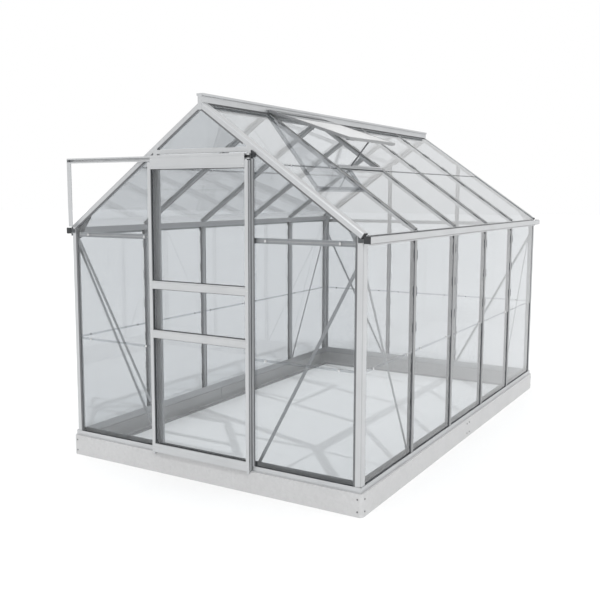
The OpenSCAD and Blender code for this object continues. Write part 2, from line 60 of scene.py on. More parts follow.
VENT_BAY = 2                     # counted from the front
VENT_TILT = SLOPE - math.radians(16.5)
HINGE = 0.008                    # hinge line of the vent, out from the ridge body and up
door_low, door_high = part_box("door_stiles")
rail_low, rail_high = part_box("door_top_rail")
track_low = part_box("door_track")[0]


# ---------------------------------------------------------------- flat sides of the house
class Side:
    """A flat side: point = origin + u * across + s * along + v * out, all unit vectors."""

    def __init__(self, origin, across, along, out):
        self.origin, self.across, self.along, self.out = (
            np.array(w, float) for w in (origin, across, along, out))

    def at(self, u, s, v):
        u, s, v = np.broadcast_arrays(*(np.asarray(w, float) for w in (u, s, v)))
        return (self.origin + u[..., None] * self.across
                + s[..., None] * self.along + v[..., None] * self.out)


c, n = math.cos(SLOPE), math.sin(SLOPE)
RIGHT = Side((HW, Y_MID, 0), (0, 1, 0), (0, 0, 1), (1, 0, 0))
LEFT = Side((-HW, Y_MID, 0), (0, 1, 0), (0, 0, 1), (-1, 0, 0))
FRONT = Side((0, Y_MID - HL, 0), (1, 0, 0), (0, 0, 1), (0, -1, 0))
BACK = Side((0, Y_MID + HL, 0), (1, 0, 0), (0, 0, 1), (0, 1, 0))
ROOF_RIGHT = Side((0, Y_MID, Z_APEX), (0, 1, 0), (c, 0, -n), (n, 0, c))
ROOF_LEFT = Side((0, Y_MID, Z_APEX), (0, 1, 0), (-c, 0, -n), (-n, 0, c))
c, n = math.cos(VENT_TILT), math.sin(VENT_TILT)
SASH = Side((RIDGE_HALF + HINGE, Y_MID, Z_APEX + HINGE), (0, 1, 0), (c, 0, -n), (n, 0, c))


# ---------------------------------------------------------------- mesh makers
def ring_faces(copies, rings, points):
    """Faces of tubes: copies x rings x points vertices, each ring joined to the next one
    by quads, and the first and last ring filled by one face each."""
    base = np.arange(copies)[:, None, None] * rings * points
    r = np.arange(rings - 1)[None, :, None] * points
    k = np.arange(points)[None, None, :]
    k1 = (k + 1) % points
    quads = np.stack([base + r + k, base + r + k1, base + r + points + k1,
                      base + r + points + k], axis=-1).reshape(-1, 4)
    first = (base[:, 0] + np.arange(points)[::-1]).tolist()
    last = (base[:, 0] + (rings - 1) * points + np.arange(points)).tolist()
    return quads.tolist() + first + last


def shape(name, parts, material, body="greenhouse", smooth=False):
    """One piece made of several (points, faces) parts, put in one mesh at the origin."""
    points, faces, start = [], [], 0
    for p, f in parts:
        p = np.asarray(p, float).reshape(-1, 3)
        points.append(p)
        faces += [[i + start for i in face] for face in f]
        start += len(p)
    mesh = bpy.data.meshes.new(name)
    mesh.from_pydata(np.concatenate(points).tolist(), [], faces)
    mesh.validate()
    mesh.materials.append(material)
    if smooth:
        mesh.shade_smooth()
        mesh.set_sharp_from_angle(angle=math.radians(40))
    piece = bpy.data.objects.new(name, mesh)
    bpy.context.scene.collection.objects.link(piece)
    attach(piece, body)
    return piece


def carried(profile, origin, a, b, travel):
    """A closed profile (p, q) carried straight: point = origin + p * a + q * b + t * travel,
    t from 0 to 1, for many origins at once. Turned so that its faces point outwards."""
    profile = np.asarray(profile, float)
    origin, a, b, travel = (np.atleast_2d(np.asarray(w, float)) for w in (origin, a, b, travel))
    count = max(len(w) for w in (origin, a, b, travel))
    origin, a, b, travel = (np.broadcast_to(w, (count, 3)) for w in (origin, a, b, travel))
    area = np.sum(profile[:, 0] * np.roll(profile[:, 1], -1)
                  - np.roll(profile[:, 0], -1) * profile[:, 1])
    parts = []
    turn = np.einsum("ij,ij->i", np.cross(a, b), travel) * area
    for sign in (1, -1):
        keep = np.sign(turn) == sign
        if not keep.any():
            continue
        prof = profile if sign > 0 else profile[::-1]
        flat = (origin[keep][:, None, :] + prof[None, :, 0, None] * a[keep][:, None, :]
                + prof[None, :, 1, None] * b[keep][:, None, :])
        both = np.stack([flat, flat + travel[keep][:, None, :]], axis=1)
        parts.append((both, ring_faces(keep.sum(), 2, len(prof))))
    points = np.concatenate([p.reshape(-1, 3) for p, _ in parts])
    faces = parts[0][1]
    if len(parts) > 1:
        start = parts[0][0].reshape(-1, 3).shape[0]
        faces = faces + [[i + start for i in f] for f in parts[1][1]]
    return points, faces


def runs(side, profile, u, s0, s1):
    """Profiles (across, out) carried along a side from s0 to s1 at each u."""
    u, s0, s1 = (w.ravel() for w in np.broadcast_arrays(
        *(np.asarray(w, float) for w in (u, s0, s1))))
    start, end = side.at(u, s0, 0 * u), side.at(u, s1, 0 * u)
    return carried(profile, start, side.across, side.out, end - start)


def cross_runs(side, profile, u0, u1, s):
    """Profiles (along, out) carried across a side from u0 to u1 at each s."""
    u0, u1, s = (w.ravel() for w in np.broadcast_arrays(
        *(np.asarray(w, float) for w in (u0, u1, s))))
    start, end = side.at(u0, s, 0 * s), side.at(u1, s, 0 * s)
    return carried(profile, start, side.along, side.out, end - start)


def block(p0, p1, q0, q1):
    """A rectangle as a profile."""
    return [(p0, q0), (p1, q0), (p1, q1), (p0, q1)]


def band(line, thick):
    """A strip of sheet bent along a line: each point of the line moved half the thickness
    to either side, along the mean of the normals of the two stretches that meet there."""
    line = np.asarray(line, float)
    step = np.diff(line, axis=0)
    step /= np.linalg.norm(step, axis=1)[:, None]
    normal = np.stack([-step[:, 1], step[:, 0]], axis=1)
    mean = np.vstack([normal[:1], normal[:-1] + normal[1:], normal[-1:]])
    mean /= np.einsum("ij,ij->i", mean, np.vstack([normal[:1], normal]))[:, None]
    return np.vstack([line + mean * thick / 2, (line - mean * thick / 2)[::-1]])


def turned(profile, centre, axis, segments=16, phase=0.0):
    """A profile (radius, height) turned about an axis through each centre:
    point = centre + h * axis + r * (cos t * a + sin t * b), a and b square to the axis."""
    profile = np.asarray(profile, float)
    centre, axis = np.atleast_2d(centre), np.atleast_2d(np.asarray(axis, float))
    axis = np.broadcast_to(axis, centre.shape)
    axis = axis / np.linalg.norm(axis, axis=1)[:, None]
    helper = np.where(np.abs(axis[:, 2:3]) > 0.9, [[1.0, 0, 0]], [[0, 0, 1.0]])
    a = np.cross(helper, axis)
    a /= np.linalg.norm(a, axis=1)[:, None]
    b = np.cross(axis, a)
    t = phase + np.linspace(0, 2 * math.pi, segments, endpoint=False)
    ring = np.cos(t)[None, :, None] * a[:, None, :] + np.sin(t)[None, :, None] * b[:, None, :]
    points = (centre[:, None, None, :] + profile[None, :, None, 1:2] * axis[:, None, None, :]
              + profile[None, :, None, 0:1] * ring[:, None, :, :])
    return points, ring_faces(len(centre), len(profile), segments)


def wires(path, radius, origin, a, b, sides=5):
    """A round wire along a flat path (p, q): a ring of points round each point of the path,
    square to the mean direction there, for many origins and directions a, b at once."""
    path = np.asarray(path, float)
    step = np.diff(path, axis=0)
    step /= np.linalg.norm(step, axis=1)[:, None]
    mean = np.vstack([step[:1], step[:-1] + step[1:], step[-1:]])
    mean /= np.linalg.norm(mean, axis=1)[:, None]
    origin, a, b = (np.atleast_2d(np.asarray(w, float)) for w in (origin, a, b))
    a, b = np.broadcast_to(a, origin.shape), np.broadcast_to(b, origin.shape)
    up = np.cross(a, b)
    t = np.linspace(0, 2 * math.pi, sides, endpoint=False)
    beside = -mean[:, 1:2] * a[:, None, :] + mean[:, 0:1] * b[:, None, :]
    spot = (origin[:, None, :] + path[None, :, 0:1] * a[:, None, :]
            + path[None, :, 1:2] * b[:, None, :])
    points = (spot[:, :, None, :] + radius * np.cos(t)[None, None, :, None] * beside[:, :, None, :]
              + radius * np.sin(t)[None, None, :, None] * up[:, None, None, :])
    return points, ring_faces(len(origin), len(path), sides)


def plate(outline, origin, a, b, out, thick):
    """A flat plate: an outline (p, q) on a and b, carried along out by its thickness."""
    return carried(outline, origin, a, b, np.asarray(out, float) * thick)


# ---------------------------------------------------------------- shader groups
def tree_of(material):
    material.use_nodes = True
    tree = material.node_tree
    tree.nodes.clear()
    return tree


def node(tree, kind, **values):
    """A shader node; keys that name one of its settings set it, the rest set its sockets."""
    made = tree.nodes.new(kind)
    for key, value in values.items():
        if hasattr(made, key):
            setattr(made, key, value)
        else:
            made.inputs[key.replace("_", " ")].default_value = value
    return made


def streak_group():
    """Fine lines along the length of an extruded or rolled section, over slow cloudy patches.
    Stretch multiplies the coordinates, so a small number along one axis draws lines that way."""
    group = bpy.data.node_groups.new("drawn_metal", "ShaderNodeTree")
    for name, kind, value in (("Place", "NodeSocketVector", (0, 0, 0)),
                              ("Stretch", "NodeSocketVector", (1, 1, 1)),
                              ("Line strength", "NodeSocketFloat", 0.5),
                              ("Patch strength", "NodeSocketFloat", 0.5)):
        socket = group.interface.new_socket(name, in_out="INPUT", socket_type=kind)
        socket.default_value = value
    for name in ("Shade", "Roughness", "Height"):
        group.interface.new_socket(name, in_out="OUTPUT", socket_type="NodeSocketFloat")
    source, sink = node(group, "NodeGroupInput"), node(group, "NodeGroupOutput")
    link = group.links.new
    squeeze = node(group, "ShaderNodeVectorMath", operation="MULTIPLY")
    link(source.outputs["Place"], squeeze.inputs[0])
    link(source.outputs["Stretch"], squeeze.inputs[1])
    lines = node(group, "ShaderNodeTexNoise", Scale=1.0, Detail=4.0, Roughness=0.6)
    link(squeeze.outputs[0], lines.inputs["Vector"])
    patches = node(group, "ShaderNodeTexNoise", Scale=5.0, Detail=3.0, Roughness=0.55)
    link(source.outputs["Place"], patches.inputs["Vector"])

    def centred(value, strength):
        less = node(group, "ShaderNodeMath", operation="SUBTRACT")
        less.inputs[1].default_value = 0.5
        link(value, less.inputs[0])
        times = node(group, "ShaderNodeMath", operation="MULTIPLY")
        link(less.outputs[0], times.inputs[0])
        link(source.outputs[strength], times.inputs[1])
        return times.outputs[0]

    line = centred(lines.outputs[0], "Line strength")
    patch = centred(patches.outputs[0], "Patch strength")
    both = node(group, "ShaderNodeMath", operation="ADD")
    link(line, both.inputs[0])
    link(patch, both.inputs[1])
    shade = node(group, "ShaderNodeMath", operation="ADD")
    shade.inputs[1].default_value = 1.0
    link(both.outputs[0], shade.inputs[0])
    rough = node(group, "ShaderNodeMath", operation="SUBTRACT")
    rough.inputs[0].default_value = 0.0
    link(both.outputs[0], rough.inputs[1])
    link(shade.outputs[0], sink.inputs["Shade"])
    link(rough.outputs[0], sink.inputs["Roughness"])
    link(lines.outputs[0], sink.inputs["Height"])
    return group


def moulded_group():
    """Fine pebbled skin of moulded plastic and rubber, with a slow change of shade."""
    group = bpy.data.node_groups.new("moulded_skin", "ShaderNodeTree")
    for name, kind, value in (("Place", "NodeSocketVector", (0, 0, 0)),
                              ("Grain size", "NodeSocketFloat", 900.0)):
        socket = group.interface.new_socket(name, in_out="INPUT", socket_type=kind)
        socket.default_value = value
    for name in ("Shade", "Height"):
        group.interface.new_socket(name, in_out="OUTPUT", socket_type="NodeSocketFloat")
    source, sink = node(group, "NodeGroupInput"), node(group, "NodeGroupOutput")
    link = group.links.new
    grain = node(group, "ShaderNodeTexVoronoi", feature="SMOOTH_F1", Scale=900.0)
    link(source.outputs["Place"], grain.inputs["Vector"])
    link(source.outputs["Grain size"], grain.inputs["Scale"])
    slow = node(group, "ShaderNodeTexNoise", Scale=14.0, Detail=2.0)
    link(source.outputs["Place"], slow.inputs["Vector"])
    spread = node(group, "ShaderNodeMapRange")
    spread.inputs["To Min"].default_value = 0.75
    spread.inputs["To Max"].default_value = 1.25
    link(slow.outputs[0], spread.inputs["Value"])
    link(spread.outputs[0], sink.inputs["Shade"])
    link(grain.outputs["Distance"], sink.inputs["Height"])
    return group


def indoors_group():
    """1 on metal behind the outer faces of the bars, 0 on their outer faces and beyond: the
    least of three ramps over the depth behind the side walls, the gables and the roof."""
    outer_skin, behind_it = 0.0021, 0.0032
    group = bpy.data.node_groups.new("indoors", "ShaderNodeTree")
    socket = group.interface.new_socket("Place", in_out="INPUT", socket_type="NodeSocketVector")
    socket.default_value = (0, 0, 0)
    group.interface.new_socket("Mask", in_out="OUTPUT", socket_type="NodeSocketFloat")
    source, sink = node(group, "NodeGroupInput"), node(group, "NodeGroupOutput")
    link = group.links.new
    axes = node(group, "ShaderNodeSeparateXYZ")
    link(source.outputs["Place"], axes.inputs[0])

    def math_node(operation, first, second):
        made = node(group, "ShaderNodeMath", operation=operation)
        for socket, value in zip(made.inputs, (first, second)):
            if isinstance(value, bpy.types.NodeSocket):
                link(value, socket)
            elif value is not None:
                socket.default_value = value
        return made.outputs[0]

    def ramp(depth):
        made = node(group, "ShaderNodeMapRange")
        made.inputs["From Min"].default_value = outer_skin
        made.inputs["From Max"].default_value = behind_it
        link(depth, made.inputs["Value"])
        return made.outputs[0]

    off_x = math_node("ABSOLUTE", axes.outputs["X"], None)
    off_y = math_node("ABSOLUTE", math_node("SUBTRACT", axes.outputs["Y"], Y_MID), None)
    fall = math_node("MULTIPLY", off_x, math.tan(SLOPE))
    under = math_node("SUBTRACT", math_node("SUBTRACT", Z_APEX, fall), axes.outputs["Z"])
    roof = ramp(math_node("MULTIPLY", under, math.cos(SLOPE)))
    walls = math_node("MINIMUM", ramp(math_node("SUBTRACT", HW, off_x)),
                      ramp(math_node("SUBTRACT", HL, off_y)))
    link(math_node("MINIMUM", walls, roof), sink.inputs["Mask"])
    return group


DRAWN, MOULDED, INDOORS = streak_group(), moulded_group(), indoors_group()


def painted_shade_by_place(tree, place, shade, outside, inside):
    """Painted shade: a tone value times one factor on metal outside the glass and another inside it,
    standing in for the light and shade that falls on each.
    """
    indoors = node(tree, "ShaderNodeGroup", node_tree=INDOORS)
    tree.links.new(place, indoors.inputs["Place"])
    keep = node(tree, "ShaderNodeMapRange")
    keep.inputs["To Min"].default_value = outside
    keep.inputs["To Max"].default_value = inside
    tree.links.new(indoors.outputs["Mask"], keep.inputs["Value"])
    times = node(tree, "ShaderNodeMath", operation="MULTIPLY")
    tree.links.new(shade, times.inputs[0])
    tree.links.new(keep.outputs[0], times.inputs[1])
    return times.outputs[0]


def shaded_colour(tree, colour, shade):
    """A plain colour times a shade value."""
    times = node(tree, "ShaderNodeVectorMath", operation="SCALE")
    times.inputs[0].default_value = colour
    tree.links.new(shade, times.inputs["Scale"])
    return times.outputs[0]


def drawn_metal(name, colour, roughness, stretch, turn=0.0, lines=0.22, patches=0.16,
                metallic=0.85, bump=0.05, outside=1.0, inside=0.80):
    """Aluminium or steel drawn or rolled along one direction: fine lines in its shade and
    gloss. turn is the slope of the member about Y, so that the lines follow a rafter; outside
    and inside are painted shade, factors on the colour of the outer faces of the house and of the
    metal behind them."""
    material = bpy.data.materials.new(name)
    tree = tree_of(material)
    link = tree.links.new
    place = here = node(tree, "ShaderNodeTexCoord").outputs["Object"]
    if turn:
        tilt = node(tree, "ShaderNodeMapping")
        tilt.inputs["Rotation"].default_value = (0, turn, 0)
        link(place, tilt.inputs["Vector"])
        place = tilt.outputs[0]
    drawn = node(tree, "ShaderNodeGroup", node_tree=DRAWN)
    drawn.inputs["Stretch"].default_value = stretch
    drawn.inputs["Line strength"].default_value = lines
    drawn.inputs["Patch strength"].default_value = patches
    link(place, drawn.inputs["Place"])
    shader = node(tree, "ShaderNodeBsdfPrincipled", Metallic=metallic)
    shade = painted_shade_by_place(tree, here, drawn.outputs["Shade"], outside, inside)
    link(shaded_colour(tree, colour, shade), shader.inputs["Base Color"])
    rough = node(tree, "ShaderNodeMath", operation="MULTIPLY_ADD")
    rough.inputs[1].default_value = 0.5
    rough.inputs[2].default_value = roughness
    link(drawn.outputs["Roughness"], rough.inputs[0])
    link(rough.outputs[0], shader.inputs["Roughness"])
    relief = node(tree, "ShaderNodeBump", Strength=bump, Distance=0.0004)
    link(drawn.outputs["Height"], relief.inputs["Height"])
    link(relief.outputs[0], shader.inputs["Normal"])
    link(shader.outputs[0], node(tree, "ShaderNodeOutputMaterial").inputs["Surface"])
    return material


def moulded(name, colour, roughness, grain):
    """Moulded plastic, rubber or pile with a fine pebbled skin."""
    material = bpy.data.materials.new(name)
    tree = tree_of(material)
    link = tree.links.new
    skin = node(tree, "ShaderNodeGroup", node_tree=MOULDED)
    skin.inputs["Grain size"].default_value = grain
    link(node(tree, "ShaderNodeTexCoord").outputs["Object"], skin.inputs["Place"])
    shader = node(tree, "ShaderNodeBsdfPrincipled", Roughness=roughness)
    link(shaded_colour(tree, colour, skin.outputs["Shade"]), shader.inputs["Base Color"])
    relief = node(tree, "ShaderNodeBump", Strength=0.25, Distance=0.0003)
    link(skin.outputs["Height"], relief.inputs["Height"])
    link(relief.outputs[0], shader.inputs["Normal"])
    link(shader.outputs[0], node(tree, "ShaderNodeOutputMaterial").inputs["Surface"])
    return material


def galvanised(name, colour, roughness):
    """Zinc-coated sheet: crystals of a few centimetres, each with its own shade and gloss."""
    material = bpy.data.materials.new(name)
    tree = tree_of(material)
    link = tree.links.new
    place = node(tree, "ShaderNodeTexCoord").outputs["Object"]
    crystals = node(tree, "ShaderNodeTexVoronoi", Scale=70.0, Randomness=1.0)
    link(place, crystals.inputs["Vector"])
    drawn = node(tree, "ShaderNodeGroup", node_tree=DRAWN)
    drawn.inputs["Stretch"].default_value = (60, 60, 60)
    drawn.inputs["Line strength"].default_value = 0.10
    drawn.inputs["Patch strength"].default_value = 0.12
    link(place, drawn.inputs["Place"])
    facet = node(tree, "ShaderNodeMapRange")
    facet.inputs["To Min"].default_value = 0.96
    facet.inputs["To Max"].default_value = 1.04
    link(crystals.outputs["Color"], facet.inputs["Value"])
    shade = node(tree, "ShaderNodeMath", operation="MULTIPLY")
    link(facet.outputs[0], shade.inputs[0])
    link(drawn.outputs["Shade"], shade.inputs[1])
    shader = node(tree, "ShaderNodeBsdfPrincipled", Metallic=0.12)
    shader.inputs["Specular IOR Level"].default_value = 0.25
    # Painted shade: the inner faces of the base, behind the glass, are darkened to 0.55.
    shade = painted_shade_by_place(tree, place, shade.outputs[0], 1.0, 0.55)
    link(shaded_colour(tree, colour, shade), shader.inputs["Base Color"])
    gloss = node(tree, "ShaderNodeMapRange")
    gloss.inputs["To Min"].default_value = roughness - 0.06
    gloss.inputs["To Max"].default_value = roughness + 0.06
    link(crystals.outputs["Color"], gloss.inputs["Value"])
    link(gloss.outputs[0], shader.inputs["Roughness"])
    relief = node(tree, "ShaderNodeBump", Strength=0.06, Distance=0.0004)
    link(drawn.outputs["Height"], relief.inputs["Height"])
    link(relief.outputs[0], shader.inputs["Normal"])
    link(shader.outputs[0], node(tree, "ShaderNodeOutputMaterial").inputs["Surface"])
    return material


def window_glass(name, tint, clear):
    """Clear horticultural glass: it bends and mirrors light as glass does, slightly uneven
    like drawn glass, and lets lamps through to what it shuts in."""
    material = bpy.data.materials.new(name)
    tree = tree_of(material)
    link = tree.links.new
    place = node(tree, "ShaderNodeTexCoord").outputs["Object"]
    film = node(tree, "ShaderNodeTexNoise", Scale=3.0, Detail=3.0)
    link(place, film.inputs["Vector"])
    shade = node(tree, "ShaderNodeMapRange")
    shade.inputs["To Min"].default_value = 0.985
    shade.inputs["To Max"].default_value = 1.015
    link(film.outputs[0], shade.inputs["Value"])
    shader = node(tree, "ShaderNodeBsdfPrincipled", Roughness=0.0, IOR=1.5)
    shader.inputs["Transmission Weight"].default_value = 1.0
    link(shaded_colour(tree, tint, shade.outputs[0]), shader.inputs["Base Color"])
    open_to_lamps = node(tree, "ShaderNodeBsdfTransparent")
    open_to_lamps.inputs[0].default_value = (*clear, 1)
    rays = node(tree, "ShaderNodeLightPath")
    either = node(tree, "ShaderNodeMath", operation="MAXIMUM")
    link(rays.outputs["Is Shadow Ray"], either.inputs[0])
    link(rays.outputs["Is Diffuse Ray"], either.inputs[1])
    choice = node(tree, "ShaderNodeMixShader")
    link(either.outputs[0], choice.inputs[0])
    link(shader.outputs[0], choice.inputs[1])
    link(open_to_lamps.outputs[0], choice.inputs[2])
    link(choice.outputs[0], node(tree, "ShaderNodeOutputMaterial").inputs["Surface"])
    return material


ALUMINIUM = (0.54, 0.55, 0.56)
# The copies of the aluminium differ by the direction of their lines and, beyond that, by painted
# shade: factors on their outer faces and on the metal behind the glass, standing in for the light and
# shade on each wall, slope and the vent; the slopes and the sash also have a lower metallic.
upright = drawn_metal("aluminium_upright", ALUMINIUM, 0.38, (700, 700, 6))
left_upright = drawn_metal("aluminium_left_upright", ALUMINIUM, 0.38, (700, 700, 6),
                           outside=0.60, inside=0.90)
right_upright = drawn_metal("aluminium_right_upright", ALUMINIUM, 0.38, (700, 700, 6),
                            outside=0.60, inside=0.30)
crosswise = drawn_metal("aluminium_crosswise", ALUMINIUM, 0.38, (6, 700, 700))
lengthwise = drawn_metal("aluminium_lengthwise", ALUMINIUM, 0.38, (700, 6, 700))
right_slope = drawn_metal("aluminium_right_slope", ALUMINIUM, 0.38, (6, 700, 700), turn=-SLOPE,
                          metallic=0.6, outside=0.34, inside=0.75)
left_slope = drawn_metal("aluminium_left_slope", ALUMINIUM, 0.38, (6, 700, 700), turn=SLOPE,
                         metallic=0.6, outside=0.34, inside=0.75)
sash_metal = drawn_metal("aluminium_sash", ALUMINIUM, 0.38, (6, 700, 700), turn=-VENT_TILT,
                         metallic=0.6, outside=0.58, inside=0.58)
cut_plate = drawn_metal("aluminium_cut_plate", ALUMINIUM, 0.42, (90, 90, 90))
zinc_sheet = galvanised("galvanised_sheet", (0.52, 0.522, 0.526), 0.42)
zinc_plated = drawn_metal("zinc_plated_fixings", (0.62, 0.62, 0.63), 0.30, (300, 300, 300),
                          metallic=1.0)
stay_steel = drawn_metal("stay_steel", (0.20, 0.205, 0.21), 0.40, (200, 200, 200), metallic=0.9)
spring_wire = drawn_metal("spring_wire", (0.10, 0.105, 0.11), 0.40, (200, 200, 200), metallic=0.9)
plastic = moulded("black_moulded_plastic", (0.022, 0.024, 0.027), 0.42, 900)
rubber = moulded("black_rubber", (0.045, 0.047, 0.050), 0.60, 1400)
wall_strip = moulded("dark_grey_strip", (0.13, 0.134, 0.14), 0.55, 1400)
roof_strip = moulded("grey_strip", (0.34, 0.345, 0.35), 0.55, 1400)
brush = moulded("brush_pile", (0.11, 0.114, 0.12), 0.85, 2600)
glass = window_glass("horticultural_glass", (0.705, 0.722, 0.737), (0.925, 0.935, 0.94))

FINISH = {
    "sill_front": crosswise, "sill_back": crosswise, "sill_left": lengthwise, "sill_right": lengthwise,
    "corner_posts": upright, "side_posts_left": left_upright,
    "side_posts_right": right_upright,
    "door_posts": upright, "back_posts": upright, "gutter_left": lengthwise,
    "gutter_right": lengthwise, "ridge_beam": lengthwise, "rafters_left": left_slope,
    "rafters_right": right_slope, "gable_rafters_front": cut_plate,
    "gable_rafters_back": cut_plate, "crossbars_front": crosswise, "crossbars_back": crosswise,
    "door_head": crosswise, "braces_front": cut_plate, "braces_back": cut_plate,
    "braces_left": cut_plate, "braces_right": cut_plate, "gussets": cut_plate,
    "vent_sill": lengthwise, "vent_sash": sash_metal, "vent_stay": stay_steel,
    "door_track": crosswise, "track_stay": upright, "door_stiles": upright,
    "door_top_rail": crosswise, "door_mid_rails": crosswise, "door_bottom_rail": crosswise,
    "gutter_end_caps": plastic, "door_rollers": plastic,
}
for name, part in nodes.items():
    if name.startswith("base_"):
        finish = zinc_sheet
    elif name.startswith("glass_") or name in ("vent_pane", "door_panes"):
        finish = glass
    else:
        finish = FINISH[name]
    part.data.materials.clear()
    part.data.materials.append(finish)


# ---------------------------------------------------------------- rubber, clips and fixings
HAIR = 0.00005                   # free space between a fitted piece and what it lies against
BARS = BAR_Y[1:-1]               # bars between the corners of a long side
MIDDLES = np.array([-BAY / 2, BAY / 2])    # middle posts of a gable
SEAL_IN, SEAL_OUT = -0.0115, -0.0008       # deepest and outermost faces of the rubber
SEAL_REACH, BED_REACH, SHOULDER_HALF = 0.0168, 0.0150, 0.012
CORNER_COVER, CORNER_SHOULDER = 0.044, 0.049   # from a corner: its cover strip and shoulder
RAFTER_GAP = 0.0008              # free space under a sloping gable rafter
CLIP_IN, CLIP_CORNER = 0.095, 0.130        # clips, from a bar and from a corner
GABLE_CLIPS = [-(HW - CLIP_CORNER), -(BAY / 2 + CLIP_IN), BAY / 2 + CLIP_IN, HW - CLIP_CORNER]
MIDDLE_CLIPS = [CLIP_IN - BAY / 2, BAY / 2 - CLIP_IN]
JOINT = Z_MID - LAP              # lower edge of the upper wall panes
# where the rubber runs along the lower and the upper panes: from, to, outer face of the pane
WALL_SPANS = ((Z_SILL + 0.001, JOINT, V_IN), (JOINT, Z_GUT - 0.003, V_OUT))
ROOF_JOINT = S_LOW_TOP + LAP     # lower edge of the upper roof panes
ROOF_LOWER, ROOF_UPPER = (ROOF_JOINT, S_END - 0.001, V_IN), (S_TOP, ROOF_JOINT, V_OUT)


def rafter_underside(x, below):
    """Height of a line that lies a distance below the roof plane, at x from the middle."""
    return Z_APEX - abs(x) * math.tan(SLOPE) - below / math.cos(SLOPE)


def beside(side, bars, hand, spans):
    """Rubber on one hand (-1 or 1) of each bar: an outer strip from the pane to just under
    the face of the cap, and a bed behind the pane beside the shoulder, over each span of
    panes (s0, s1, outer face of the pane)."""
    parts = []
    for s0, s1, face in spans:
        for near, far, low, high in (
                (CAP_HALF + HAIR, SEAL_REACH, face + HAIR, SEAL_OUT),
                (SHOULDER_HALF + HAIR, BED_REACH, SEAL_IN, face - PANE_T - HAIR)):
            parts.append(runs(side, block(hand * near, hand * far, low, high), bars, s0, s1))
    return parts


def beside_corners(side, spans):
    """The same two strips beside the cover strips of the corner sections."""
    parts = []
    for s0, s1, face in spans:
        for near, width, low, high in (
                (CORNER_COVER, SEAL_REACH - CAP_HALF, face + HAIR, SEAL_OUT),
                (CORNER_SHOULDER, BED_REACH - SHOULDER_HALF, SEAL_IN, face - PANE_T - HAIR)):
            for hand in (-1, 1):
                profile = block(hand * (HL - near - HAIR), hand * (HL - near - width), low, high)
                parts.append(runs(side, profile, 0, s0, s1))
    return parts


def glazing_strips():
    """Rubber strips along both edges of every bar, in the walls, gables and roof."""
    walls = [part for side in (RIGHT, LEFT) for hand in (-1, 1)
             for part in beside(side, BARS, hand, WALL_SPANS)]
    walls += [part for side in (RIGHT, LEFT) for part in beside_corners(side, WALL_SPANS)]
    shape("wall_glazing_strips", walls, wall_strip)
    top = rafter_underside(BAY / 2 + SEAL_REACH, RAFTER_D + RAFTER_GAP)
    spans = (WALL_SPANS[0], (JOINT, top, V_OUT))
    gables = [part for side in (FRONT, BACK) for k in (-1, 1)
              for part in beside(side, k * BAY / 2, k, spans)]
    gables += [part for k in (-1, 1) for part in beside(BACK, k * BAY / 2, -k, spans)]
    shape("gable_glazing_strips", gables, wall_strip)
    roofs = [part for hand in (-1, 1)
             for part in beside(ROOF_LEFT, BARS, hand, (ROOF_LOWER, ROOF_UPPER))]
    for i, bar in enumerate(BARS, 1):
        for hand, next_bay in ((-1, i), (1, i + 1)):
            spans = (ROOF_LOWER,) if next_bay == VENT_BAY else (ROOF_LOWER, ROOF_UPPER)
            roofs += beside(ROOF_RIGHT, bar, hand, spans)
    roofs += [part for side in (ROOF_RIGHT, ROOF_LEFT)
              for part in beside_corners(side, (ROOF_LOWER, ROOF_UPPER))]
    shape("roof_glazing_strips", roofs, roof_strip)


def corner_gaskets():
    """Rubber in the gap between a corner tube and the gable panes: it fills the gap behind
    and laps over the edge of the pane with a sloping lip."""
    tube, gap_end, bend, lip_end = 0.0336, 0.0398, 0.0435, 0.0455    # from the corner
    deep, front, lip_t = -0.0088, -0.0010, 0.0006
    parts = []
    top = rafter_underside(HW - tube, RAFTER_D + 0.0005)
    for side in (FRONT, BACK):
        for s0, s1, face in (WALL_SPANS[0], (JOINT, top, V_OUT)):
            section = [(tube, deep), (gap_end, deep), (gap_end, face + HAIR),
                       (lip_end, face + HAIR), (lip_end, face + lip_t), (bend, front), (tube, front)]
            for hand in (-1, 1):
                parts.append(runs(side, [(hand * (HW - d), v) for d, v in section], 0, s0, s1))
    shape("corner_gaskets", parts, wall_strip)


def rafter_gaskets():
    """Rubber strips on the gable panes along the underside of each sloping gable rafter; their dark
    band is also painted shade for the shaded inner side of the rafter.
    """
    c, n = math.cos(SLOPE), math.sin(SLOPE)
    gap, reach, front = 0.0002, 0.0092, -0.0007
    section = block(RAFTER_D + gap, RAFTER_D + reach, V_OUT + HAIR, front)
    upper = (0.0165, BAY / 2 - 0.0185)
    lower = (BAY / 2 + 0.0215, HW - CORNER_SHOULDER)
    parts = []
    for out, y in ((-1, Y_MID - HL), (1, Y_MID + HL)):
        for hand in (-1, 1):
            slope = Side((0, y, Z_APEX), (-hand * n, 0, -c), (hand * c, 0, -n), (0, out, 0))
            for x0, x1 in (upper, lower):
                parts.append(runs(slope, section, 0, x0 / c, x1 / c))
    shape("gable_rafter_gaskets", parts, wall_strip)


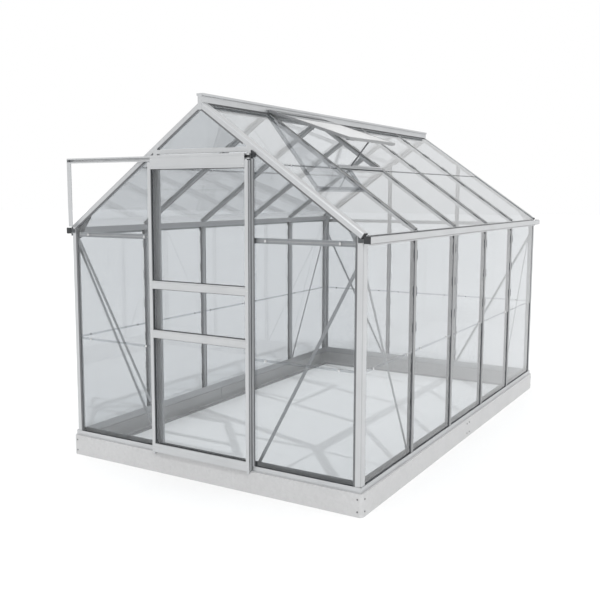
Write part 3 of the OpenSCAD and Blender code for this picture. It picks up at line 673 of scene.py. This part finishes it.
def sill_gaskets():
    """Rubber wedges between the outer lip of the sills and the lower panes, bay by bay."""
    low, high, lip, slant = Z_SILL + 0.012, Z_SILL + 0.0250, 0.0008, 0.003
    beside_bar, side_corner, gable_corner, middle = SEAL_REACH + 0.001, 0.048, 0.0465, 0.018
    section = [(low, V_IN + HAIR), (low, lip), (high - slant, lip), (high, V_IN + HAIR)]
    parts = []
    for side in (RIGHT, LEFT):
        u0 = np.array([b + beside_bar for b in BAR_Y[:-1]])
        u1 = np.array([b - beside_bar for b in BAR_Y[1:]])
        u0[0], u1[-1] = -(HL - side_corner), HL - side_corner
        parts.append(cross_runs(side, section, u0, u1, 0 * u0))
    inner, outer = BAY / 2 + beside_bar, HW - gable_corner
    for side in (FRONT, BACK):
        parts.append(cross_runs(side, section, np.array([-outer, inner]),
                                np.array([-inner, outer]), np.zeros(2)))
    parts.append(cross_runs(BACK, section, middle - BAY / 2, BAY / 2 - middle, 0.0))
    shape("sill_gaskets", parts, wall_strip)


def joint_clips():
    """S-shaped clips where an upper pane laps over a lower one: a strip bent round the lower
    edge of the upper pane and the upper edge of the lower pane."""
    line = np.array([(0.0100, -0.00205), (-0.0004, -0.00205), (-0.0004, -0.00545),
                     (0.0124, -0.00545), (0.0124, -0.00885), (0.0020, -0.00885)])
    bay_clips = [(b0 + CLIP_IN, b1 - CLIP_IN) for b0, b1 in zip(BAR_Y[:-1], BAR_Y[1:])]
    half, sheet = 0.006, 0.00024

    def clips(side, places, s, up):
        """Clips at each place across a side; up is 1 or -1 along the side."""
        at = np.array(places, float).ravel()
        section = band(line * (up, 1), sheet)
        return cross_runs(side, section, at - half, at + half, np.full(at.shape, s))

    parts = [clips(side, bay_clips, JOINT, 1) for side in (RIGHT, LEFT)]
    parts.append(clips(FRONT, GABLE_CLIPS, JOINT, 1))
    parts.append(clips(BACK, GABLE_CLIPS + MIDDLE_CLIPS, JOINT, 1))
    parts.append(clips(ROOF_LEFT, bay_clips, ROOF_JOINT, -1))
    glazed = bay_clips[:VENT_BAY - 1] + bay_clips[VENT_BAY:]
    parts.append(clips(ROOF_RIGHT, glazed, ROOF_JOINT, -1))
    shape("joint_clips", parts, zinc_plated)


def crossbar_clips():
    """Flat clips over the joint of the panes at the crossbars, each with a tongue to the bar."""
    half, face_half, tongue_half = 0.005, 0.007, 0.001
    front, seat, deep = -0.0018, -0.0022, -0.0116
    sections = (block(-face_half, face_half, seat, front),
                block(-tongue_half, tongue_half, deep, seat))
    parts = []
    for side, places in ((FRONT, GABLE_CLIPS), (BACK, GABLE_CLIPS + MIDDLE_CLIPS)):
        at = np.array(places)
        level = np.full(at.shape, Z_CROSS)
        parts += [cross_runs(side, section, at - half, at + half, level) for section in sections]
    shape("crossbar_clips", parts, zinc_plated)


def spring_clips():
    """W-shaped wire clips that press the panes down beside the bars, about 20 cm apart. Rows
    are heights above the ground in the walls, and distances down the slope in the roof."""
    end, knee, wire = 0.027, 0.014, 0.0015
    near, middle, far = 0.0182, 0.0188, 0.0250
    path = np.array([(-end, near), (-knee, far), (0, middle), (knee, far), (end, near)])
    wall_rows = ((0.24, 0.44, 0.64), (0.86, 1.06, 1.26))
    roof_rows = ((0.70, 0.90, 1.10), (0.14, 0.34, 0.52))

    def beside_bars(side, bars, hand, rows, face):
        u, s = (w.ravel() for w in np.meshgrid(bars, rows))
        spot = side.at(u, s, np.full(u.shape, face + wire + HAIR))
        return wires(path, wire, spot, side.along, hand * side.across)

    walls, roofs = [], []
    for hand in (-1, 1):
        for rows, face in zip(wall_rows, (V_IN, V_OUT)):
            walls += [beside_bars(side, BARS, hand, rows, face) for side in (RIGHT, LEFT)]
            walls += [beside_bars(BACK, MIDDLES, hand, rows, face)]
            walls += [beside_bars(FRONT, [hand * BAY / 2], hand, rows, face)]
        for rows, face in zip(roof_rows, (V_IN, V_OUT)):
            roofs.append(beside_bars(ROOF_LEFT, BARS, hand, rows, face))
            last = VENT_BAY - 1 if hand > 0 else VENT_BAY
            bars = [b for i, b in enumerate(BARS, 1) if face == V_IN or i != last]
            roofs.append(beside_bars(ROOF_RIGHT, bars, hand, rows, face))
    shape("wall_spring_clips", walls, spring_wire, smooth=True)
    shape("roof_spring_clips", roofs, spring_wire, smooth=True)


def nuts(places, axis):
    """Six-sided nuts with the rounded end of the bolt standing out of each."""
    places = np.atleast_2d(np.asarray(places, float))
    nut = [(0.0052, 0), (0.0057, 0.0004), (0.0057, 0.0044), (0.0050, 0.0050)]
    end = [(0.0030, 0.0048), (0.0030, 0.0068), (0.0022, 0.0074)]
    return [turned(nut, places, axis, 6, 0.4), turned(end, places, axis, 10)]


def frame_bolts():
    """Nuts on the inner faces of the posts and rafters, and on the braces and gussets that
    lie against them, a plate's thickness further in. Heights are above the ground; places on
    a slope are distances down it."""
    post_foot, post_head, brace_foot, brace_head = 0.182, Z_GUT - 0.020, 0.180, Z_GUT - 0.036
    rafter_head, rafter_foot = 0.062, S_END - 0.075
    on_plate, past_bar, from_end = POST_D + BAR_T, 0.016, 0.0255
    parts = []
    for side in (RIGHT, LEFT):
        u, s = (w.ravel() for w in np.meshgrid(BARS, (post_foot, post_head)))
        parts += nuts(side.at(u, s, np.full(u.shape, -POST_D)), -side.out)
        feet = np.array([BAR_Y[1] - past_bar, BAR_Y[-2] + past_bar])
        heads = np.array([-(HL - from_end), HL - from_end])
        for u, level in ((feet, brace_foot), (heads, brace_head)):
            parts += nuts(side.at(u, np.full(2, level), np.full(2, -on_plate)), -side.out)
    for side in (ROOF_RIGHT, ROOF_LEFT):
        u, s = (w.ravel() for w in np.meshgrid(BARS, (rafter_head, rafter_foot)))
        parts += nuts(side.at(u, s, np.full(u.shape, -RAFTER_D)), -side.out)
    corner, on_rafter = HW - 0.021, 0.021
    plate_drops, plate_reaches = (0.014, 0.044), (0.052, 0.084)
    plate_points = [(corner, Z_GUT - drop) for drop in plate_drops]
    plate_points += [(HW - w, rafter_underside(HW - w, on_rafter)) for w in plate_reaches]
    brace_points = [(BAY / 2 + 0.043, 0.178), (HW - 0.0272, 1.272)]
    post_points = [(BAY / 2, post_foot)]
    for side in (FRONT, BACK):
        for points, depth in ((plate_points + brace_points, on_plate), (post_points, POST_D)):
            x, z = (np.array(w) for w in zip(*points))
            for hand in (-1, 1):
                parts += nuts(side.at(hand * x, z, np.full(x.shape, -depth)), -side.out)
    shape("frame_bolts", parts, zinc_plated)


def pan_heads(places, axis, radius):
    """Round screw heads: a domed rim round a shallow recess, turned about each place."""
    dome = [(radius, 0), (radius, 0.26 * radius), (0.80 * radius, 0.48 * radius),
            (0.46 * radius, 0.56 * radius), (0.40 * radius, 0.30 * radius)]
    return [turned(dome, places, axis, 14)]


def base_screws():
    """Two screws on each arm of the corner pieces, and four on each splice of the base."""
    edge, radius, on_splice = 0.028, 0.0048, 0.024
    on_gable, on_side = HW + BASE_OUT - 0.0265, HL + BASE_OUT - 0.0295
    heights = (edge, BASE_H - edge)
    parts = []
    for side, reach in ((FRONT, on_gable), (BACK, on_gable), (RIGHT, on_side), (LEFT, on_side),
                        (RIGHT, on_splice), (LEFT, on_splice)):
        u, s = (w.ravel() for w in np.meshgrid((-reach, reach), heights))
        parts += pan_heads(side.at(u, s, np.full(u.shape, BASE_OUT)), side.out, radius)
    shape("base_screws", parts, stay_steel, smooth=True)


def plastic_ends():
    """Black plugs on the lower ends of the gable rafters, pads under the gutter beside each
    bar, and dark strips of painted shadow along the outer edge of the underside of the gutters."""
    proud, plug_t = 0.001, 0.0035
    parts = []
    for side in (ROOF_RIGHT, ROOF_LEFT):
        for k in (-1, 1):
            section = block(k * (HL - POST_D), k * (HL + proud), -RAFTER_D, proud)
            parts.append(runs(side, section, 0, S_END + HAIR, S_END + plug_t))
    pad_far, pad_near, pad_front, pad_low, pad_high = 0.0125, 0.0032, 0.0006, 0.030, 0.0035
    section = block(-CAP_HALF - pad_far, -CAP_HALF - pad_near, V_OUT + HAIR, pad_front)
    for side in (RIGHT, LEFT):
        parts.append(runs(side, section, BARS, Z_GUT - pad_low, Z_GUT - pad_high))
    shape("black_end_pieces", parts, plastic)
    # Painted shadow: a dark strip under the front edge of each gutter, where its underside lies in
    # shade.
    strip_t, strip_in, strip_out = 0.0025, 0.0290, 0.0362
    section = block(Z_GUT - strip_t, Z_GUT - HAIR, strip_in, strip_out)
    gutter_shadow_paint = [cross_runs(side, section, -HL, HL, 0.0) for side in (RIGHT, LEFT)]
    shape("gutter_painted_shadow_strips", gutter_shadow_paint, wall_strip)


STOP_X, STOP_LOW = 0.3275, 1.7700          # inner edge and lowest edge of the door stop


def door_stop():
    """Black block at the head of the right door post that the leaf closes against, its top
    cut along the rafter."""
    far, rise, back, thick = 0.3520, 0.006, -0.0005, 0.012
    outline = [(STOP_X, STOP_LOW), (far, STOP_LOW + rise),
               (far, rafter_underside(far, RAFTER_D + RAFTER_GAP)),
               (STOP_X, rafter_underside(STOP_X, RAFTER_D + RAFTER_GAP))]
    foot = FRONT.at(0, 0, back)
    part = plate(outline, foot, (1, 0, 0), (0, 0, 1), (0, -1, 0), thick)
    shape("door_stop", [part], plastic)


def door_post_cover():
    """Cover strip down the right door post under the stop, and beside it a dark strip of painted shade
    for the shaded side of the post.
    """
    low, top, back = Z_SILL + 0.028, STOP_LOW - 0.001, 0.0010
    cover_far, cover_front = 0.3385, 0.0075
    strip_near, strip_far, strip_front = 0.3387, 0.3425, 0.0040
    cover = runs(FRONT, block(STOP_X, cover_far, back, cover_front), 0, low, top)
    shape("door_post_cover", [cover], upright)
    # Painted shade: a dark strip for the side of the post that lies in shade.
    strip = runs(FRONT, block(strip_near, strip_far, back, strip_front), 0, low, top)
    shape("door_post_painted_shade", [strip], wall_strip)


def door_brushes():
    """Black brush strips on the door posts, reaching almost to the back of the leaf."""
    near, far, reach, foot, head = 0.3165, 0.3205, 0.0112, 0.0290, 0.002
    parts = []
    for k in (-1, 1):
        section = block(k * near, k * far, HAIR, reach)
        parts.append(runs(FRONT, section, 0, Z_SILL + foot, track_low[2] - head))
    shape("door_brushes", parts, brush)


# ---------------------------------------------------------------- door leaf
STILE_W, RAIL_H, FOOT_H = 0.021, 0.045, 0.050
RAILS = (0.662, 0.939)           # middle rails above the bottom of the leaf
leaf_x0, leaf_y0, leaf_z0 = door_low
leaf_x1, leaf_y1, leaf_z1 = door_high
DOOR_FACE = Side((0, leaf_y0, 0), (1, 0, 0), (0, 0, 1), (0, -1, 0))
FIELDS = ((leaf_z0 + FOOT_H, leaf_z0 + RAILS[0]),
          (leaf_z0 + RAILS[0] + RAIL_H, leaf_z0 + RAILS[1]),
          (leaf_z0 + RAILS[1] + RAIL_H, float(rail_low[2])))


def door_seals():
    """Rubber strips round the three panes of the leaf, on both faces of the glass."""
    middle = (leaf_y1 - leaf_y0) / 2
    x0, x1 = leaf_x0 + STILE_W + HAIR, leaf_x1 - STILE_W - HAIR
    width, proud = 0.0032, 0.0035
    parts = []
    for sign in (-1, 1):
        near = -middle + sign * (PANE_T / 2 + HAIR)
        far = near + sign * proud
        for z0, z1 in FIELDS:
            for x in (x0, x1 - width):
                upright_strip = block(x, x + width, near, far)
                parts.append(runs(DOOR_FACE, upright_strip, 0, z0 + width, z1 - width))
            for z in (z0 + HAIR, z1 - width - HAIR):
                level_strip = block(z, z + width, near, far)
                parts.append(cross_runs(DOOR_FACE, level_strip, x0, x1, 0.0))
    shape("door_seals", parts, rubber, body="door")


def door_screws():
    """Small screws through the stiles into each rail, and at both ends of the cover plate."""
    radius, from_edge, from_end = 0.0034, 0.018, STILE_W + 0.008
    heights = [leaf_z0 + FOOT_H / 2] + [leaf_z0 + rail + RAIL_H / 2 for rail in RAILS]
    stiles = (leaf_x0 + STILE_W / 2, leaf_x1 - STILE_W / 2)
    u, s = (w.ravel() for w in np.meshgrid(stiles, heights))
    parts = pan_heads(DOOR_FACE.at(u, s, np.zeros(u.shape)), DOOR_FACE.out, radius)
    levels = (rail_low[2] + from_edge, rail_high[2] - from_edge)
    u, s = (w.ravel() for w in np.meshgrid((leaf_x0 + from_end, leaf_x1 - from_end), levels))
    proud = np.full(u.shape, leaf_y0 - rail_low[1])
    parts += pan_heads(DOOR_FACE.at(u, s, proud), DOOR_FACE.out, radius)
    shape("door_screws", parts, zinc_plated, body="door", smooth=True)


def door_guides():
    """Feet of the stiles under both ends of the leaf, in front of the base."""
    back, front, drop, width = Y_MID - HL - BASE_OUT, leaf_y0 + 0.003, 0.014, 0.012
    section = [(front, leaf_z0), (front, leaf_z0 - drop), (back - 0.0025, leaf_z0 - drop),
               (back - 0.0015, leaf_z0)]
    from_edge = 0.004
    parts = []
    for x in (leaf_x0 + from_edge, leaf_x1 - from_edge - width):
        parts.append(carried(section, (x, 0, 0), (0, 1, 0), (0, 0, 1), (width, 0, 0)))
    shape("door_guides", parts, upright, body="door")


def door_edges():
    """A dark jointing line down the outer edge of each stile, just behind its front face."""
    proud, deep, front, end = 0.0006, -0.0050, -0.0028, 0.004
    parts = []
    for k, x in ((-1, leaf_x0), (1, leaf_x1)):
        section = block(x + k * HAIR, x + k * proud, deep, front)
        parts.append(runs(DOOR_FACE, section, 0, leaf_z0 + end, leaf_z1 - end))
    shape("door_edges", parts, rubber, body="door")


def door_ribs():
    """Ribs drawn along the rails of the leaf: two on the cover plate, and on each middle rail
    a nose of half an ellipse along its top and a flat rib along its foot, all carried from
    stile to stile."""
    x0, x1 = leaf_x0 + STILE_W + 0.0005, leaf_x1 - STILE_W - 0.0005
    cover = leaf_y0 - float(rail_low[1])
    rib_foot, rib_crest, rib_up = 0.0020, 0.0012, 0.0010
    nose_half, nose_out, flat_h, flat_out = 0.0045, 0.0035, 0.003, 0.0016
    parts = []
    for z in (rail_high[2] - 0.0120, rail_low[2] + 0.0100):
        section = [(z - rib_foot, cover), (z - rib_crest, cover + rib_up),
                   (z + rib_crest, cover + rib_up), (z + rib_foot, cover)]
        parts.append(cross_runs(DOOR_FACE, section, x0, x1, 0.0))
    turn = np.linspace(-math.pi / 2, math.pi / 2, 7)
    for rail in RAILS:
        top = leaf_z0 + rail + RAIL_H
        foot = top - RAIL_H
        nose = np.stack([top - nose_half + nose_half * np.sin(turn), nose_out * np.cos(turn)],
                        axis=1)
        parts.append(cross_runs(DOOR_FACE, nose, x0, x1, 0.0))
        parts.append(cross_runs(DOOR_FACE, block(foot, foot + flat_h, 0, flat_out), x0, x1, 0.0))
    shape("door_ribs", parts, crosswise, body="door", smooth=True)


# ---------------------------------------------------------------- roof vent
VENT_LAP = 0.005                 # the vent reaches past the middle of the bars beside it
vent_y0, vent_y1 = BAR_Y[VENT_BAY - 1] - VENT_LAP, BAR_Y[VENT_BAY] + VENT_LAP
VENT_L, SASH_W, SASH_D = 0.566, 0.024, 0.016   # length down the slope, frame width and depth


def vent_seals():
    """Rubber strips under the pane of the vent along the inner edges of its frame."""
    width, pane_under, low = 0.0032, -0.0037, -0.0075
    top = pane_under - HAIR
    u0, u1 = vent_y0 + SASH_W + HAIR, vent_y1 - SASH_W - HAIR
    s0, s1 = SASH_W + HAIR, VENT_L - SASH_W - HAIR
    parts = [runs(SASH, block(a, a + width, low, top), 0, s0, s1) for a in (u0, u1 - width)]
    parts += [cross_runs(SASH, block(s, s + width, low, top), u0, u1, 0.0)
              for s in (s0, s1 - width)]
    shape("vent_seals", parts, rubber)


def vent_catches():
    """Black plastic pads under the lower corners of the vent that rest on its sill when shut."""
    back, front, taper, thick, width, end = 0.0235, 0.006, 0.002, 0.0035, 0.070, 0.004
    section = [(VENT_L - back, -SASH_D), (VENT_L - front, -SASH_D),
               (VENT_L - front - taper, -SASH_D - thick), (VENT_L - back, -SASH_D - thick)]
    u0 = np.array([vent_y0 + end, vent_y1 - end - width])
    pads = cross_runs(SASH, section, u0, u0 + width, 0 * u0)
    shape("vent_catches", [pads], plastic)


def ridge_seals():
    """Black strips between the ridge and the top edges of the upper roof panes, bay by bay."""
    near, to_pane, to_cap, deep, front = 0.0168, 0.0004, 0.0006, -0.0055, -0.0014
    section = block(near, S_TOP - to_pane, deep, front)
    low = np.array([b + CAP_HALF + to_cap for b in BAR_Y[:-1]])
    high = np.array([b - CAP_HALF - to_cap for b in BAR_Y[1:]])
    end = HL - CORNER_COVER - to_cap
    low[0], high[-1] = -end, end
    glazed = np.arange(SIDE_BAYS) != VENT_BAY - 1
    parts = [cross_runs(ROOF_LEFT, section, low, high, 0 * low),
             cross_runs(ROOF_RIGHT, section, low[glazed], high[glazed], 0 * low[glazed])]
    shape("ridge_seals", parts, rubber)


def ridge_ends():
    """Flat plates that close both ends of the ridge section: its body with its capping."""
    body, cap, cap_low, top, thick = 0.0128, 0.0198, 0.0130, Z_APEX + 0.0358, 0.0012
    low = rafter_underside(RIDGE_HALF, RAFTER_D) - 0.0018
    right = [(body, low), (body, top - cap_low), (cap, top - cap_low), (cap, top)]
    outline = right + [(-x, z) for x, z in right[::-1]]
    ridge_low, ridge_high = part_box("ridge_beam")
    parts = []
    for y, out in ((ridge_low[1] - HAIR, -1), (ridge_high[1] + HAIR, 1)):
        parts.append(plate(outline, (0, y, 0), (1, 0, 0), (0, 0, 1), (0, out, 0), thick))
    shape("ridge_end_plates", parts, cut_plate)


for make in (glazing_strips, ridge_seals, ridge_ends, door_edges, door_ribs, corner_gaskets,
             rafter_gaskets, sill_gaskets, joint_clips, crossbar_clips, spring_clips, frame_bolts,
             base_screws, plastic_ends, door_stop, door_post_cover, door_brushes, door_seals,
             door_screws, door_guides, vent_seals, vent_catches):
    make()


# ---------------------------------------------------------------- studio, light and camera
def studio_floor():
    """A wide flat floor of matt pale paper at the foot of the base."""
    material = bpy.data.materials.new("pale_paper")
    tree = tree_of(material)
    shader = node(tree, "ShaderNodeBsdfPrincipled", Roughness=0.9)
    fibres = node(tree, "ShaderNodeTexNoise", Scale=40.0, Detail=4.0)
    tree.links.new(node(tree, "ShaderNodeTexCoord").outputs["Object"], fibres.inputs["Vector"])
    shade = node(tree, "ShaderNodeMapRange")
    shade.inputs["To Min"].default_value = 0.99
    shade.inputs["To Max"].default_value = 1.01
    tree.links.new(fibres.outputs[0], shade.inputs["Value"])
    paper = shaded_colour(tree, (0.93, 0.93, 0.93), shade.outputs[0])
    tree.links.new(paper, shader.inputs["Base Color"])
    tree.links.new(shader.outputs[0], node(tree, "ShaderNodeOutputMaterial").inputs["Surface"])
    mesh = bpy.data.meshes.new("floor")
    half = 60
    corners = [(-half, -half, 0), (half, -half, 0), (half, half, 0), (-half, half, 0)]
    mesh.from_pydata(corners, [], [(0, 1, 2, 3)])
    mesh.materials.append(material)
    floor = bpy.data.objects.new("floor", mesh)
    bpy.context.scene.collection.objects.link(floor)


def area_light(name, place, target, size, power):
    """A square softbox at place, turned towards target."""
    light = bpy.data.lights.new(name, "AREA")
    light.shape, light.size, light.energy = "SQUARE", size, power
    lamp = bpy.data.objects.new(name, light)
    bpy.context.scene.collection.objects.link(lamp)
    ahead = np.array(target, float) - np.array(place, float)
    lamp.location = place
    lamp.rotation_euler = Vector(ahead).to_track_quat("-Z", "Y").to_euler()


def far_lamp(name, place, strength, spread):
    """A distant lamp in the direction of place, whose shadows widen by spread radians."""
    light = bpy.data.lights.new(name, "SUN")
    light.energy, light.angle = strength, spread
    lamp = bpy.data.objects.new(name, light)
    bpy.context.scene.collection.objects.link(lamp)
    lamp.rotation_euler = Vector(place).to_track_quat("Z", "Y").to_euler()


def white_world(strength):
    """An even white surround."""
    world = bpy.data.worlds.new("white_surround")
    bpy.context.scene.world = world
    world.use_nodes = True
    background = world.node_tree.nodes["Background"]
    background.inputs["Color"].default_value = (1, 1, 1, 1)
    background.inputs["Strength"].default_value = strength


studio_floor()
white_world(1.0)
area_light("side_softbox", (7.0, 1.0, 3.5), (0, 0, 0.8), 4.0, 15)
far_lamp("high_lamp", (0.516, -0.601, 1.0), 1.0, 0.012)

camera_data = bpy.data.cameras.new("camera")
camera = bpy.data.objects.new("camera", camera_data)
bpy.context.scene.collection.objects.link(camera)
camera_data.sensor_width, camera_data.lens = 36.0, 48.458
camera_data.shift_x, camera_data.shift_y = 0.0177, -0.0129
camera_data.clip_start, camera_data.clip_end = 0.1, 200.0
camera.location = (2.6368, -5.0489, 1.5865)
camera.rotation_euler = (math.radians(90) - 0.1203, -0.0015, 0.5406)
bpy.context.scene.camera = camera
bpy.context.scene.view_settings.view_transform = "Standard"
